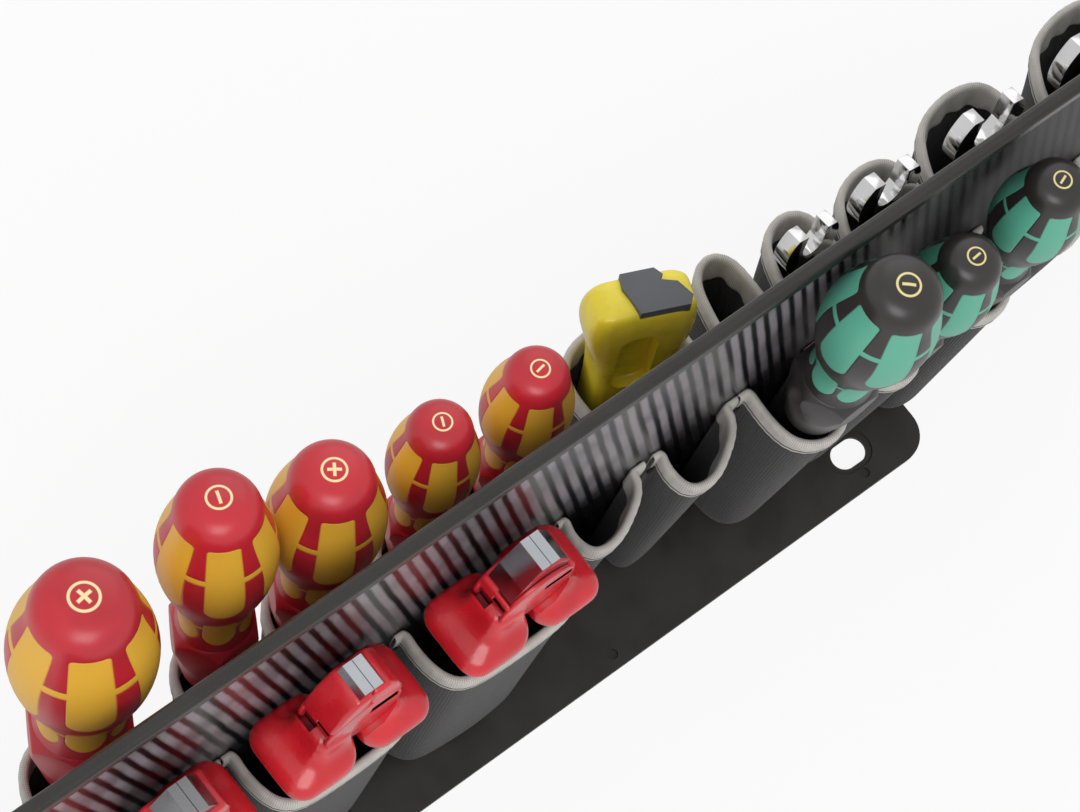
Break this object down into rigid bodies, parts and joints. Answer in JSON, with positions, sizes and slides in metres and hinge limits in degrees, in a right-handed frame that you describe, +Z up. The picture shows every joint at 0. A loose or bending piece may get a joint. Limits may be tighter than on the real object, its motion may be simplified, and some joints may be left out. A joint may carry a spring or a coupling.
{
  "type": "tool panel",
  "caption": "Upright rimmed board on a flat slotted foot, with fabric pockets on both faces holding drivers, pliers, wrenches and a cable stripper.",
  "frame": {"origin": "underside of the foot plate, below the board's middle plane and midway between the plate's two slots", "axes": "+X along the board, -Y to the front (the side with the foot's long flange), +Z up"},
  "size_m": [0.4832, 0.0863, 0.2019],
  "materials": {
    "board_face": "glossy with a woven look",
    "trim": "fine leather grain",
    "plate": "satin black powder coat",
    "cloth": "ribbed black polyester",
    "tape": "warm grey woven tape",
    "rivet": "blind rivets",
    "red_handle": "semi-gloss red with yellow inlays",
    "insulated_blade": "insulated sleeve",
    "green_handle": "black with green inlays",
    "steel_blade": "satin steel",
    "plier_steel": "bright steel",
    "plier_grip": "glossy red insulation",
    "wrench_chrome": "satin chrome",
    "yellow_body": "glossy yellow",
    "grey_insert": "satin dark grey"
  },
  "bodies": {
    "panel": {"back_binding": "tape", "back_pocket_1": "cloth", "back_pocket_10": "cloth", "back_pocket_11": "cloth", "back_pocket_2": "cloth", "back_pocket_3": "cloth", "back_pocket_4": "cloth", "back_pocket_5": "cloth", "back_pocket_6": "cloth", "back_pocket_7": "cloth", "back_pocket_8": "cloth", "back_pocket_9": "cloth", "board": "board_face", "edge_trim": "trim", "foot_plate": "plate", "front_binding": "tape", "front_pocket_1": "cloth", "front_pocket_2": "cloth", "front_pocket_3": "cloth", "front_pocket_4": "cloth", "front_pocket_5": "cloth", "front_pocket_6": "cloth", "front_pocket_7": "cloth", "front_pocket_8": "cloth", "front_pocket_9": "cloth", "insulated_driver_1_blade": "insulated_blade", "insulated_driver_1_handle": "red_handle", "insulated_driver_2_blade": "insulated_blade", "insulated_driver_2_handle": "red_handle", "insulated_driver_3_blade": "insulated_blade", "insulated_driver_3_handle": "red_handle", "insulated_driver_4_blade": "insulated_blade", "insulated_driver_4_handle": "red_handle", "insulated_driver_5_blade": "insulated_blade", "insulated_driver_5_handle": "red_handle", "pliers_1_grip_left": "plier_grip", "pliers_1_jaw_left": "plier_steel", "pliers_2_grip_left": "plier_grip", "pliers_2_jaw_left": "plier_steel", "pliers_3_grip_left": "plier_grip", "pliers_3_jaw_left": "plier_steel", "rivets": "rivet", "shop_driver_1_blade": "steel_blade", "shop_driver_1_handle": "green_handle", "shop_driver_2_blade": "steel_blade", "shop_driver_2_handle": "green_handle", "shop_driver_3_blade": "steel_blade", "shop_driver_3_handle": "green_handle", "stripper_body": "yellow_body", "stripper_insert": "grey_insert", "wrench_1": "wrench_chrome", "wrench_2": "wrench_chrome", "wrench_3": "wrench_chrome", "wrench_4": "wrench_chrome"},
    "pliers_1_right_half": {"pliers_1_jaw_right": "plier_steel", "pliers_1_grip_right": "plier_grip"},
    "pliers_2_right_half": {"pliers_2_jaw_right": "plier_steel", "pliers_2_grip_right": "plier_grip"},
    "pliers_3_right_half": {"pliers_3_jaw_right": "plier_steel", "pliers_3_grip_right": "plier_grip"}
  },
  "joints": [
    {"name": "pliers_1_pivot", "type": "hinge", "parent": "panel", "child": "pliers_1_right_half", "pos_m": [-0.1746, -0.0154, 0.131], "axis": [0, -1, 0], "range_deg": [0, 3]},
    {"name": "pliers_2_pivot", "type": "hinge", "parent": "panel", "child": "pliers_2_right_half", "pos_m": [-0.1165, -0.0154, 0.131], "axis": [0, -1, 0], "range_deg": [0, 3]},
    {"name": "pliers_3_pivot", "type": "hinge", "parent": "panel", "child": "pliers_3_right_half", "pos_m": [-0.0555, -0.0154, 0.131], "axis": [0, -1, 0], "range_deg": [0, 3]}
  ]
}
